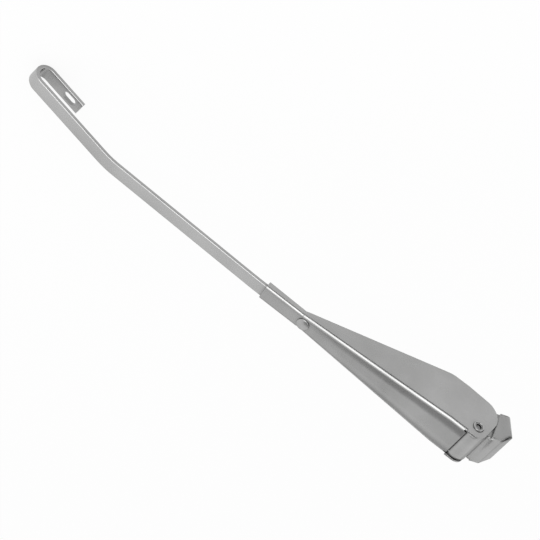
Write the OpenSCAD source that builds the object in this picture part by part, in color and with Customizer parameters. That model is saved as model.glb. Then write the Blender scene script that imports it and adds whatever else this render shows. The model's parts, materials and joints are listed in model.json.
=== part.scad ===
// Windscreen wiper arm with a hinged, sprung head and a hooked blade strip.
// Origin: spindle axis at the mounting face of the head. +Z leaves the windscreen,
// +X runs along the arm to the hook, and the arm hangs at its closed stop.

/* [Blade strip] */
// Width of the flat strip
strip_w = 8; // [6:0.5:10]
// Thickness of the strip
strip_t = 2.4; // [1.8:0.1:3]
// Straight run from the channel mouth to the edgewise bend
strip_run = 97.2; // [60:0.2:160]
// Straight run from the edgewise bend to the hook
strip_reach = 47.4; // [30:0.2:90]
// Lean of the strip where it leaves the channel, in degrees
strip_lean = 1.5; // [0.5:0.5:4]
// Set of the strip towards the windscreen at the channel mouth, in degrees
strip_set = 0.5; // [0:0.1:2]
// Edgewise bend in the strip, in degrees
bend_angle = 12.6; // [4:0.2:25]
// Radius of the edgewise bend at the middle of the strip
bend_r = 45; // [20:1:90]
// Length of strip held inside the channel
strip_tail = 36; // [32:1:45]

/* [Hook] */
// Clear gap inside the hook
hook_gap = 9; // [7:0.1:13]
// Straight length of the returned end
hook_return = 22.5; // [15:0.5:40]
// Length of the latch slot in the returned end
slot_len = 8; // [4:0.5:10]
// Width of the latch slot
slot_w = 4; // [2:0.1:4.4]
// Distance from the returned end's tip to the middle of the slot
slot_from_tip = 7.6; // [7:0.2:14]

/* [Channel] */
// Thickness of the channel's sheet
sheet = 1; // [0.8:0.1:1.4]
// Distance from the hinge pin to the channel mouth
channel_len = 127.3; // [115:0.5:150]
// Length of the crimped mouth that grips the strip
crimp_len = 24; // [18:1:30]
// Width of the channel over its flanges at the head
channel_w = 23.4; // [21:0.2:26]
// Depth of the flanges at their deepest point
flange_depth = 27.6; // [24:0.2:31]
// Height of the channel's outer face above the hinge pin
web_rise = 7; // [6.6:0.1:9]
// Outer radius of the folded long edges
fold_r = 2.4; // [1.8:0.1:2.6]
// Distance from the hinge pin to the end of the web
web_end = 3.9; // [3.6:0.1:6]
// Width of the lips folded under the strip
lip_w = 2.6; // [1.5:0.1:3]

/* [Head] */
// Width of the head between the flanges
neck_w = 20.8; // [18:0.2:21]
// Width of the head over its hub
hub_w = 23; // [21:0.2:25]
// Distance from the spindle axis to the hinge pin
pin_x = 12; // [11.6:0.1:14]
// Height of the hinge pin above the mounting face
pin_z = 13; // [12.6:0.1:16]
// Height of the head above the mounting face
head_h = 17.7; // [16.5:0.1:20]
// Distance from the spindle axis to the closed end of the head
head_back = 9.8; // [9:0.1:12]
// Radius of the rounded knuckle around the hinge pin
knuckle_r = 6.5; // [5.4:0.1:6.6]
// Bore for the spindle
bore_d = 10.4; // [8:0.1:11]
// Depth of the spindle bore
bore_depth = 9.4; // [7:0.1:9.8]
// Drop of the arm at its closed stop, in degrees
drop = 27; // [20:1:30]
// Direction in which the stop face leaves the hinge pin, in degrees
stop_angle = 151.5; // [145:0.5:155]
// Distance of the stop face below a line through the hinge pin
stop_drop = 0; // [0:0.1:2]

/* [Pins and springs] */
// Diameter of the tubular hinge pin
hinge_d = 5; // [4:0.1:5.6]
// Bore through the tubular hinge pin
hinge_bore = 3.4; // [1.5:0.1:3.6]
// Diameter of the rolled rim of the hinge pin
hinge_rim_d = 6.2; // [5.9:0.1:7]
// Diameter of the domed rivet head
rivet_head_d = 7; // [5:0.1:7.4]
// Height of the dome
rivet_head_h = 1.1; // [0.6:0.1:1.8]
// Diameter of the rivet shank
rivet_d = 3.6; // [3:0.1:4]
// Distance from the hinge pin to the rivet
rivet_x = 101.3; // [99:0.1:102]
// Diameter of the pin that holds the spring in the head
anchor_d = 3; // [2:0.1:3.4]
// Diameter of the spring wire
wire_d = 1.3; // [1:0.05:1.5]
// Outer diameter of the spring's coil
coil_d = 8.6; // [7:0.1:9]
// Number of turns in the coil
turns = 30; // [20:1:34]
// Length of the coil
coil_len = 50; // [46:1:54]
// Diameter of the retaining clip's wire
clip_d = 1.2; // [1:0.1:1.4]

/* [Fits] */
// Gap between a flange and the side of the head
side_gap = 0.3; // [0.2:0.05:0.5]
// Radial running clearance of the hinge pin in the head
run_fit = 0.05; // [0.02:0.01:0.1]
// Radial clearance of a pin that is riveted in place
set_fit = 0.02; // [0.01:0.01:0.04]

/* [Hidden] */
$fn = 48;
eps = 0.01;
big = 200;

steel = [0.70, 0.70, 0.69];
dull_steel = [0.55, 0.55, 0.54];
cast_zinc = [0.60, 0.61, 0.62];
spring_steel = [0.38, 0.38, 0.39];

// Channel, seen from the hinge pin with +X along the channel
mouth_step = 0.5;
web_under = web_rise - sheet;
crimp_x = channel_len - crimp_len;
pocket_gap = 0.1;
crimp_half = strip_w / 2 + pocket_gap + sheet;
crimp_fold_r = fold_r - 0.4;
crimp_bottom = web_under - strip_t - sheet;
flare_bottom = web_under - strip_t - 0.3;
rear_half = channel_w / 2;
taper_x = 14;
deep_x = 24.2;
deep_z = web_rise - flange_depth;
heel = [-9.6, deep_z + 2.2];
ear = [-4.9, web_rise];
ear_r = 5;
heel_r = 10;
deep_r = 14;
flange_outline = [
    [crimp_x + 1, web_rise, 0], [ear[0], ear[1], ear_r], [heel[0], heel[1], heel_r],
    [deep_x, deep_z, deep_r], [crimp_x + 1, flare_bottom, 0]];
taper_angle = atan((rear_half - crimp_half) / (crimp_x - taper_x));
taper_run = norm([rear_half - crimp_half, crimp_x - taper_x]);
flange_x_min = -20;
mitre = 0.3;

// Head, in the row's own frame
neck_half = min(neck_w / 2, rear_half - sheet - side_gap);
hub_half = hub_w / 2;
shoulder_x = -1.4;
shoulder_wall = 1.3;
anchor = [13.5, 4.7];
anchor_r = anchor_d / 2;
clip_r = clip_d / 2;
clip_z = 3.4;
clip_y = bore_d / 2 + clip_r + 0.05;

// Functions that turn a list of corners with radii into an outline
function unit(v) = v / norm(v);
function cross2(a, b) = a[0] * b[1] - a[1] * b[0];
function flat(p) = [p[0], p[1]];
function corner_arc(before, p, after, r, steps = 10) =
    let (a = unit(flat(before) - flat(p)), b = unit(flat(after) - flat(p)),
        half = acos(a * b) / 2, reach = r / tan(half),
        middle = flat(p) + unit(a + b) * r / sin(half),
        from = flat(p) + a * reach - middle, to = flat(p) + b * reach - middle,
        start = atan2(from[1], from[0]), sweep = atan2(cross2(from, to), from * to))
    [for (i = [0 : steps]) middle + r * [cos(start + sweep * i / steps), sin(start + sweep * i / steps)]];
function rounded(list) = [for (i = [0 : len(list) - 1])
    let (p = list[i], before = list[(i + len(list) - 1) % len(list)], after = list[(i + 1) % len(list)])
    each (p[2] > 0 ? corner_arc(before, p, after, p[2]) : [flat(p)])];

// Places what is drawn from the hinge pin onto the hanging arm
module on_arm() {
    translate([pin_x, 0, pin_z]) rotate([0, drop, 0]) children();
}

// Extrudes a side view, drawn in X and Z, across the width
module across(width) {
    rotate([90, 0, 0]) translate([0, 0, -width / 2]) linear_extrude(width) children();
}

module cross_pin(r, width) {
    rotate([90, 0, 0]) cylinder(r = r, h = width, center = true);
}

// Plan of the channel, over its flanges or inside them
module channel_plan(inset) {
    polygon([[flange_x_min, -rear_half + inset], [taper_x, -rear_half + inset],
        [crimp_x, -crimp_half + inset], [crimp_x, crimp_half - inset],
        [taper_x, rear_half - inset], [flange_x_min, rear_half - inset]]);
}

// What the fold takes off a sharp long edge, along +X
module fold_cut(length, r) {
    translate([0, -r, -r]) rotate([90, 0, 90]) linear_extrude(length) difference() {
        square([r + 1, r + 1]);
        circle(r = r);
    }
}

// Outside of the channel and of its crimped mouth, with sharp edges
module channel_outside() {
    intersection() {
        across(channel_w + 2) polygon(rounded(flange_outline));
        translate([0, 0, -big / 2]) linear_extrude(big) channel_plan(0);
    }
    across(2 * crimp_half) polygon([[crimp_x, flare_bottom], [channel_len, crimp_bottom],
        [channel_len, web_rise], [crimp_x, web_rise]]);
}

// What the fold takes off the long edges: outside, or inside by the sheet's thickness
module folded_edges(inset) {
    r = fold_r - inset;
    z = web_rise - inset;
    translate([web_end - inset, rear_half - inset, z]) fold_cut(taper_x - web_end + inset + mitre, r);
    translate([taper_x, rear_half - inset, z]) rotate([0, 0, -taper_angle]) translate([-mitre, 0, 0])
        fold_cut(taper_run + 2 * mitre, r);
}

module channel_inside() {
    difference() {
        translate([0, 0, web_under - big]) linear_extrude(big) channel_plan(sheet);
        for (side = [0, 1]) mirror([0, side, 0]) folded_edges(sheet);
    }
    translate([flange_x_min, -rear_half + sheet, -big / 2])
        cube([web_end - flange_x_min, channel_w - 2 * sheet, big]);
    translate([crimp_x - 1, -strip_w / 2 - pocket_gap, web_under - strip_t])
        cube([crimp_len + 2, strip_w + 2 * pocket_gap, strip_t]);
    translate([crimp_x - 1, -crimp_half + lip_w, crimp_bottom - 1])
        cube([crimp_len + 2, 2 * (crimp_half - lip_w), strip_t + sheet]);
}

module relief_notches() {
    notch_w = 1.2;
    notch_l = 0.8;
    notch_h = sheet + 2;
    for (side = [-1, 1]) translate([web_end, side * (rear_half - sheet - notch_w / 2), web_under - 1]) {
        translate([-1, -notch_w / 2, 0]) cube([notch_l + 1, notch_w, notch_h]);
        translate([notch_l, 0, 0]) cylinder(d = notch_w, h = notch_h, $fn = 24);
    }
}

module arm_channel() {
    color(steel) on_arm() difference() {
        channel_outside();
        channel_inside();
        for (side = [0, 1]) mirror([0, side, 0]) {
            folded_edges(0);
            translate([crimp_x - mitre, crimp_half, web_rise]) fold_cut(crimp_len + 1, crimp_fold_r);
        }
        relief_notches();
        cross_pin(hinge_d / 2 + set_fit, channel_w + 4);
        translate([rivet_x, 0, web_under - 1]) cylinder(d = rivet_d + 2 * set_fit, h = sheet + 2);
    }
}

// Strip, seen from the mouth's inner face with +X out of the mouth: the corners of its middle line in plan
tail_start = channel_len + mouth_step - strip_tail;
mouth_end = channel_len + mouth_step;
far_lean = strip_lean + bend_angle;
bend_reach = bend_r * tan(bend_angle / 2);
bend_at = (strip_run + bend_reach) * [cos(strip_lean), -sin(strip_lean)];
hook_at = bend_at + (strip_reach + bend_reach) * [cos(far_lean), -sin(far_lean)];
bend_lean = strip_lean + bend_angle / 2;
function beside(angle, d) = d * [sin(angle), cos(angle)];
function strip_edge(side) =
    let (d = side * strip_w / 2, turn = bend_at + beside(bend_lean, d) / cos(bend_angle / 2))
    [[0, d, 0], [turn[0], turn[1], bend_r + d], concat(hook_at + beside(far_lean, d), 0)];

module strip_plan() {
    near = strip_edge(-1);
    far = strip_edge(1);
    polygon(rounded([[-strip_tail, -strip_w / 2, 0], near[0], near[1], near[2], far[2], far[1], far[0],
        [-strip_tail, strip_w / 2, 0]]));
}

// Side view of the flat run, with the slight set towards the windscreen
module strip_side() {
    drop_end = big * tan(strip_set);
    polygon([[-strip_tail, 0], [0, 0], [big, -drop_end], [big, -drop_end - strip_t / cos(strip_set)],
        [-strip_t * tan(strip_set / 2), -strip_t], [-strip_tail, -strip_t]]);
}

module hook_side() {
    r_in = hook_gap / 2;
    middle = -strip_t - r_in;
    difference() {
        union() {
            translate([-hook_return, middle - r_in - strip_t]) square([hook_return, 2 * (r_in + strip_t)]);
            translate([0, middle]) circle(r = r_in + strip_t, $fn = 96);
        }
        translate([-hook_return - 1, middle - r_in]) square([hook_return + 1, 2 * r_in]);
        translate([0, middle]) circle(r = r_in, $fn = 96);
        translate([-hook_return - 1, -strip_t - 1]) square([hook_return + 1, strip_t + 2]);
    }
}

module latch_slot() {
    half = (slot_len - slot_w) / 2;
    for (x = [-half, half]) translate([x, 0, 0]) cylinder(d = slot_w, h = strip_t + 2, center = true);
    cube([2 * half, slot_w, strip_t + 2], center = true);
}

module hook() {
    z = -1.5 * strip_t - hook_gap;
    difference() {
        across(strip_w) hook_side();
        translate([slot_from_tip - hook_return, 0, z]) latch_slot();
    }
}

module blade_strip() {
    color(steel) on_arm() translate([mouth_end, 0, web_under]) difference() {
        union() {
            intersection() {
                across(big) strip_side();
                translate([0, 0, -big / 2]) linear_extrude(big) strip_plan();
            }
            rotate([0, strip_set, 0]) translate([hook_at[0], hook_at[1], 0]) rotate([0, 0, -far_lean]) hook();
        }
        translate([rivet_x - mouth_end, 0, -strip_t - 1])
            cylinder(d = rivet_d + 2 * set_fit, h = strip_t + 2);
    }
}

// Domed rivet whose inner end is also the post for the spring
rivet_post = 2;
post_head_h = 0.8;
post_head_d = rivet_d + 1.8;
module strip_rivet() {
    head_r = rivet_head_d / 2;
    dome_r = (head_r * head_r + rivet_head_h * rivet_head_h) / (2 * rivet_head_h);
    post_bottom = web_under - strip_t - rivet_post;
    color(steel) on_arm() translate([rivet_x, 0, 0]) {
        translate([0, 0, web_rise]) intersection() {
            translate([0, 0, rivet_head_h - dome_r]) sphere(r = dome_r, $fn = 96);
            cylinder(r = head_r, h = rivet_head_h + 1);
        }
        translate([0, 0, post_bottom]) cylinder(d = rivet_d, h = web_rise - post_bottom + eps);
        translate([0, 0, post_bottom - post_head_h]) cylinder(d = post_head_d, h = post_head_h);
    }
}

// Tube with both ends rolled over the flanges
rim_h = 0.8;
rim_flare = 2;
module hinge_pin() {
    half = channel_w / 2;
    rim_r = hinge_rim_d / 2;
    color(steel) on_arm() rotate([90, 0, 0]) difference() {
        union() {
            cylinder(d = hinge_d, h = channel_w, center = true);
            for (side = [0, 1]) mirror([0, 0, side]) translate([0, 0, half]) {
                cylinder(r = rim_r, h = rim_h / 2);
                translate([0, 0, rim_h / 2]) cylinder(r1 = rim_r, r2 = rim_r - rim_h / 2, h = rim_h / 2);
            }
        }
        cylinder(d = hinge_bore, h = channel_w + 4, center = true);
        for (side = [0, 1]) mirror([0, 0, side]) translate([0, 0, half])
            cylinder(d1 = hinge_bore, d2 = hinge_bore + rim_flare, h = rim_h + eps);
    }
}

// Shrinks an outline of corners with radii, listed anticlockwise, by moving each side inwards
function inward(a, b) = let (d = unit(flat(b) - flat(a))) [-d[1], d[0]];
function shrink(list, d) = [for (i = [0 : len(list) - 1])
    let (p = list[i], before = list[(i + len(list) - 1) % len(list)], after = list[(i + 1) % len(list)],
        n1 = inward(before, p), n2 = inward(p, after), q = flat(p) + (n1 + n2) * d / (1 + n1 * n2))
    [q[0], q[1], max(p[2] - d, 0)]];

// The hub's side view and plan, whose straight faces meet in rounded corners
hub_front = 6;
slope_top = -1.2;
slope = 34;
slope_foot = head_h - (head_back + slope_top) * tan(slope);
crease_r = 1.8;
back_r = 3.5;
hub_side = [[hub_front, head_h, 0], [slope_top, head_h, 3], [-head_back, slope_foot, back_r],
    [-head_back, -2, 0], [hub_front, -2, 0]];
hub_plan = [[hub_front, -hub_half, 0], [hub_front, hub_half, 0], [-head_back, hub_half, back_r],
    [-head_back, -hub_half, back_r]];
hub_end_view = [[-hub_half, -big / 2, 0], [hub_half, -big / 2, 0],
    [hub_half, 0, crease_r], [-hub_half, 0, crease_r]];

// Block with its two long upper edges rounded: its top passes through the origin, along X
module creased_block(inset) {
    rotate([90, 0, 90]) translate([0, 0, -big / 2]) linear_extrude(big)
        polygon(rounded(shrink(hub_end_view, inset)));
}

module hub_skin(inset) {
    intersection() {
        across(2 * hub_w) polygon(rounded(shrink(hub_side, inset)));
        translate([0, 0, -2]) linear_extrude(head_h + 4) difference() {
            polygon(rounded(shrink(hub_plan, inset)));
            if (inset > 0) for (side = [0, 1]) mirror([0, side, 0])
                translate([shoulder_x - shoulder_wall, neck_half - inset]) square(big);
        }
        translate([0, 0, head_h]) creased_block(inset);
        translate([slope_top, 0, head_h]) rotate([0, -slope, 0]) creased_block(inset);
    }
}

// Region in front of the radial stop face, where the end of the web sweeps
module stop_wedge(offset) {
    far = 30;
    translate([pin_x, 0, pin_z]) rotate([0, -stop_angle, 0]) translate([0, 0, offset])
        translate([0, -far, -far]) cube([far, 2 * far, far]);
}

// Cheeks of the neck, with the round knuckle about the hinge pin and a chamfered foot
module neck_sides(inset) {
    front = pin_x + knuckle_r - inset;
    width = 2 * (neck_half - inset);
    neck_back = pin_x - 8;
    shoulder_z = pin_z - 4;
    foot = [2.5, 3];
    across(width) polygon([[front, pin_z], [neck_back, pin_z], [shoulder_x, shoulder_z],
        [shoulder_x, -2], [front - foot[0], -2], [front, foot[1]]]);
    translate([pin_x, 0, pin_z]) cross_pin(knuckle_r - inset, width);
}

module head_form(inset) {
    difference() {
        hub_skin(inset);
        stop_wedge(stop_drop + inset);
    }
    neck_sides(inset);
}

// Pockets in the sides of the hub where the flanges lie at the closed stop
module flange_recess() {
    depth = hub_half - neck_half;
    floor_top = 7.5;
    back_edge = -8.8;
    back_turn = drop - 6;
    for (side = [0, 1]) mirror([0, side, 0]) translate([0, neck_half, 0]) {
        translate([shoulder_x, 0, -1]) cube([big, depth + 1, floor_top + 1]);
        translate([pin_x, 0, pin_z]) rotate([0, back_turn, 0]) translate([back_edge, 0, -big / 2])
            cube([big, depth + 1, big]);
    }
}

module head_cover() {
    front_gap = 2 * (neck_half - sheet) - 0.2;
    mouth_angle = -5;
    color(steel) difference() {
        head_form(0);
        head_form(sheet);
        flange_recess();
        translate([-big / 2, -big / 2, -big]) cube(big);
        translate([pin_x, 0, pin_z]) rotate([0, -mouth_angle, 0]) translate([0, -front_gap / 2, -big])
            cube([big, front_gap, big]);
        translate([pin_x, 0, pin_z]) cross_pin(hinge_d / 2 + run_fit, big);
        translate([anchor[0], 0, anchor[1]]) cross_pin(anchor_r + set_fit, big);
    }
}

// Hairpin path of the retaining clip, drawn with any wire radius
module clip_path(r) {
    leg_end = -5.6;
    bend_x = 2.4;
    translate([0, 0, clip_z]) {
        for (side = [-1, 1]) translate([leg_end, side * clip_y, 0]) rotate([0, 90, 0])
            cylinder(r = r, h = bend_x - leg_end);
        translate([bend_x, 0, 0]) rotate([0, 0, -90]) rotate_extrude(angle = 180)
            translate([clip_y, 0]) circle(r = r, $fn = 24);
    }
}

module retaining_clip() {
    color(spring_steel) clip_path(clip_r);
}

module spindle_boss() {
    barrel_wall = 2.2;
    barrel_roof = 0.9;
    barrel_r = bore_d / 2 + barrel_wall;
    bar = [6, 2 * (neck_half - sheet - 0.05), head_h - sheet - 2.4];
    groove_r = clip_r + 0.1;
    slot = [4.8, 2 * clip_y, 2 * groove_r];
    color(cast_zinc) difference() {
        union() {
            cylinder(r = barrel_r, h = bore_depth + barrel_roof);
            translate([-1, -bar[1] / 2, 0.4]) cube(bar);
        }
        translate([0, 0, -1]) cylinder(d = bore_d, h = bore_depth + 1, $fn = 96);
        clip_path(groove_r);
        translate([-slot[0] / 2, -clip_y, clip_z - groove_r]) cube(slot);
    }
}

module spring_anchor_pin() {
    color(dull_steel) translate([anchor[0], 0, anchor[1]]) cross_pin(anchor_r, 2 * neck_half);
}

// Spring, drawn from the hinge pin: a loop on the anchor, the coil, and a loop on the rivet's post
wire_r = wire_d / 2;
wire_sides = 6;
ring_steps = 14;
hook_r = anchor_r + wire_r + 0.05;
post_r = rivet_d / 2 + wire_r + 0.05;
anchor_x = (anchor[0] - pin_x) * cos(drop) - (anchor[1] - pin_z) * sin(drop);
anchor_z = (anchor[0] - pin_x) * sin(drop) + (anchor[1] - pin_z) * cos(drop);
post_z = web_under - strip_t - rivet_post / 2;
near_end = [anchor_x, 0, anchor_z];
far_end = [rivet_x, 0, post_z];
pull = unit(far_end - near_end);
lift_dir = cross([0, 1, 0], -pull);
coil_r = coil_d / 2 - wire_r;
coil_start = 24;
loop_steps = 12;
// The near end bows out below the line of pull, so that it clears the knuckle when the arm is raised
bow_r = 8.4;
near_wrap = [-10, 260];
far_wrap = [-150, 300];
near_loop = [for (i = [0 : loop_steps - 1]) let (a = near_wrap[0] + near_wrap[1] * i / loop_steps)
    near_end + hook_r * (cos(a) * pull + sin(a) * lift_dir)];
near_bow = [for (i = [0 : loop_steps]) let (a = 180 + 180 * i / loop_steps)
    near_end + (bow_r - hook_r) * pull + bow_r * (cos(a) * pull + sin(a) * lift_dir)];
far_loop = [for (i = [0 : loop_steps]) let (a = far_wrap[0] + far_wrap[1] * i / loop_steps)
    far_end + post_r * [cos(a), sin(a), 0]];
coil = [for (i = [0 : turns * ring_steps]) let (a = 360 * i / ring_steps)
    near_end + pull * (coil_start + coil_len * i / (turns * ring_steps))
        + coil_r * (cos(a) * lift_dir + sin(a) * [0, 1, 0])];
spring_path = concat(near_loop, near_bow, coil, far_loop);

function tangents(p) = [for (i = [0 : len(p) - 1])
    unit(p[min(i + 1, len(p) - 1)] - p[max(i - 1, 0)])];
function across_tangent(n, t) = unit(n - t * (n * t));
function normals(t) = [for (i = 0, n = across_tangent([0, 1, 0.3], t[0]); i < len(t);
    i = i + 1, n = i < len(t) ? across_tangent(n, t[i]) : n) n];

// Round wire swept along a path of points
module wire(path, r, sides) {
    t = tangents(path);
    n = normals(t);
    rings = len(path);
    points = [for (i = [0 : rings - 1], k = [0 : sides - 1]) let (a = 360 * k / sides)
        path[i] + r * (cos(a) * n[i] + sin(a) * cross(t[i], n[i]))];
    walls = [for (i = [0 : rings - 2], k = [0 : sides - 1]) let (q = (k + 1) % sides)
        each [[i * sides + k, (i + 1) * sides + k, (i + 1) * sides + q],
            [i * sides + k, (i + 1) * sides + q, i * sides + q]]];
    first = [for (k = [0 : sides - 1]) k];
    last = [for (k = [sides - 1 : -1 : 0]) (rings - 1) * sides + k];
    polyhedron(points, concat(walls, [last], [first]));
}

module tension_spring() {
    color(spring_steel) on_arm() wire(spring_path, wire_r, wire_sides);
}

head_cover();
spindle_boss();
retaining_clip();
spring_anchor_pin();
arm_channel();
blade_strip();
strip_rivet();
hinge_pin();
tension_spring();
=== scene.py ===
"""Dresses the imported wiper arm: metal finishes, rounded and wire pieces, camera and studio."""

from __future__ import annotations

import json
import logging
import math
from dataclasses import dataclass, field
from enum import Enum

import bmesh
import bpy
from mathutils import Matrix, Vector

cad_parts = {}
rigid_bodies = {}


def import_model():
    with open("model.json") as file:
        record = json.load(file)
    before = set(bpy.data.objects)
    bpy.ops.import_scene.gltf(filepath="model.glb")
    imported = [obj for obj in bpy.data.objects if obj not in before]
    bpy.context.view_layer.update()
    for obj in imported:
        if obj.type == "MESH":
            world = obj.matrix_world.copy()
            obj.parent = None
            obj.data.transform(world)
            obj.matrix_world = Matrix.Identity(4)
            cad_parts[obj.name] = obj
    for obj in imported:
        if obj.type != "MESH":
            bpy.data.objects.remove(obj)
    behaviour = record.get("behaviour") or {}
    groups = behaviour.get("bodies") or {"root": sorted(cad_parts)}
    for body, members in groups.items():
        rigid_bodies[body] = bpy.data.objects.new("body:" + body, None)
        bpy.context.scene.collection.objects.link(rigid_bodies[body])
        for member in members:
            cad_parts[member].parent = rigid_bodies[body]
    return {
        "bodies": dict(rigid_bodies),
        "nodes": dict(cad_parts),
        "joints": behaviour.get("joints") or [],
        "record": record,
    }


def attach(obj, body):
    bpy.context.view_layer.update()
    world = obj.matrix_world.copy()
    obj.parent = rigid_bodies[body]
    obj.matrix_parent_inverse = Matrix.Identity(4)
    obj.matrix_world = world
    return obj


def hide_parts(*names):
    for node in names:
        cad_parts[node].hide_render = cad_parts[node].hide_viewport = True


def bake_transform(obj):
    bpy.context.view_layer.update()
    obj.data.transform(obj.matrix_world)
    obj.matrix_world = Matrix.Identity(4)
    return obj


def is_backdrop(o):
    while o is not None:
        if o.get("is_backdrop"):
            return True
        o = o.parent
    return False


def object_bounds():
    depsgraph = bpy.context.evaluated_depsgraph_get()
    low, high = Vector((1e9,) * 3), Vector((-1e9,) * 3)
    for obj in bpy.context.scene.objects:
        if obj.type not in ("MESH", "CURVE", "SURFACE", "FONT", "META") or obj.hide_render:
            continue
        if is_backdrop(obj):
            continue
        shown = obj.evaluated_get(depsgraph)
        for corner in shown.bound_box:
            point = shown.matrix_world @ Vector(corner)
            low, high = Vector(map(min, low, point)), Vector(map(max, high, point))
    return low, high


MM = 0.001
UNIT = (0.0, 1.0)
log = logging.getLogger("wiper_arm")
Pair = tuple[float, float]
Triple = tuple[float, float, float]


class Body(Enum):
    """The two moving bodies of the arm."""

    HEAD = "head"
    ARM = "arm"


class Slot(Enum):
    """Material slots of the part's record."""

    SHEET = "stainless_sheet"
    PIN = "stainless_pin"
    ZINC = "cast_zinc"
    WIRE = "spring_steel"


@dataclass(frozen=True)
class HangingArm:
    """Place of the arm at its closed stop, in millimetres and degrees."""

    pin_x: float = 12.0
    pin_z: float = 13.0
    drop: float = 27.0

    def matrix(self) -> Matrix:
        """Returns the matrix from points drawn at the hinge pin to the row frame, in metres."""
        place = Matrix.Translation(Vector((self.pin_x, 0.0, self.pin_z)) * MM)
        return place @ Matrix.Rotation(math.radians(self.drop), 4, "Y")


def add_socket(
    group: bpy.types.NodeTree, name: str, way: str, kind: str, value: float | None = None
) -> None:
    """Adds one named socket to a node group.

    Args:
        group: The node group.
        name: The socket's name.
        way: "INPUT" or "OUTPUT".
        kind: The socket's type.
        value: Default of a float input.
    """
    made = group.interface.new_socket(name=name, in_out=way, socket_type=kind)
    if value is not None:
        made.default_value = value


def add_node(tree: bpy.types.NodeTree, kind: str, **settings: object) -> bpy.types.Node:
    """Adds a node and sets its options.

    Args:
        tree: The tree that gets the node.
        kind: The node's type name.
        settings: Options by attribute name.

    Returns:
        The new node.
    """
    made = tree.nodes.new(kind)
    for name, value in settings.items():
        setattr(made, name, value)
    return made


def set_inputs(node: bpy.types.Node, values: dict[str, object]) -> None:
    """Sets constant values on a node's own sockets.

    Args:
        node: The node.
        values: Values by socket name.
    """
    for name, value in values.items():
        node.inputs[name].default_value = value


def maths(
    tree: bpy.types.NodeTree, operation: str, a: object, b: object = None
) -> bpy.types.NodeSocket:
    """Adds a Math node.

    Args:
        tree: The tree that gets the node.
        operation: The operation's name.
        a: A number or a socket.
        b: A number or a socket, where the operation has two.

    Returns:
        The node's output socket.
    """
    made = add_node(tree, "ShaderNodeMath", operation=operation)
    for place, value in enumerate((a, b)):
        if isinstance(value, (int, float)):
            made.inputs[place].default_value = value
        elif value is not None:
            tree.links.new(value, made.inputs[place])
    return made.outputs[0]


def map_range(
    tree: bpy.types.NodeTree, value: bpy.types.NodeSocket, given: Pair, wanted: Pair
) -> bpy.types.NodeSocket:
    """Adds a Map Range node, which also clamps.

    Args:
        tree: The tree that gets the node.
        value: The socket that is mapped.
        given: The two ends of what comes in.
        wanted: What these ends become.

    Returns:
        The node's output socket.
    """
    made = add_node(tree, "ShaderNodeMapRange")
    ends = {"From Min": given[0], "From Max": given[1], "To Min": wanted[0], "To Max": wanted[1]}
    set_inputs(made, ends)
    tree.links.new(value, made.inputs["Value"])
    return made.outputs["Result"]


@dataclass(frozen=True)
class WebCrown:
    """Where the channel's web is crowned, in metres along and across the arm.

    Attributes:
        along: The two ends of the tapered web.
        half_width: Half the web's width at these ends.
        fold: Width of the fold beside the web, which isn't crowned.
        share: Share of the half width that slopes down to the fold.
        fade_along: Where the crown begins and ends to fade.
        fade: Strength of the crown at these places, as a fall.
    """

    along: Pair = (0.014, 0.1033)
    half_width: Pair = (0.0117, 0.0051)
    fold: float = 0.0024
    share: float = 0.46
    fade_along: Pair = (0.05, 0.1)
    fade: Pair = (-1.0, -0.1)


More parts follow.
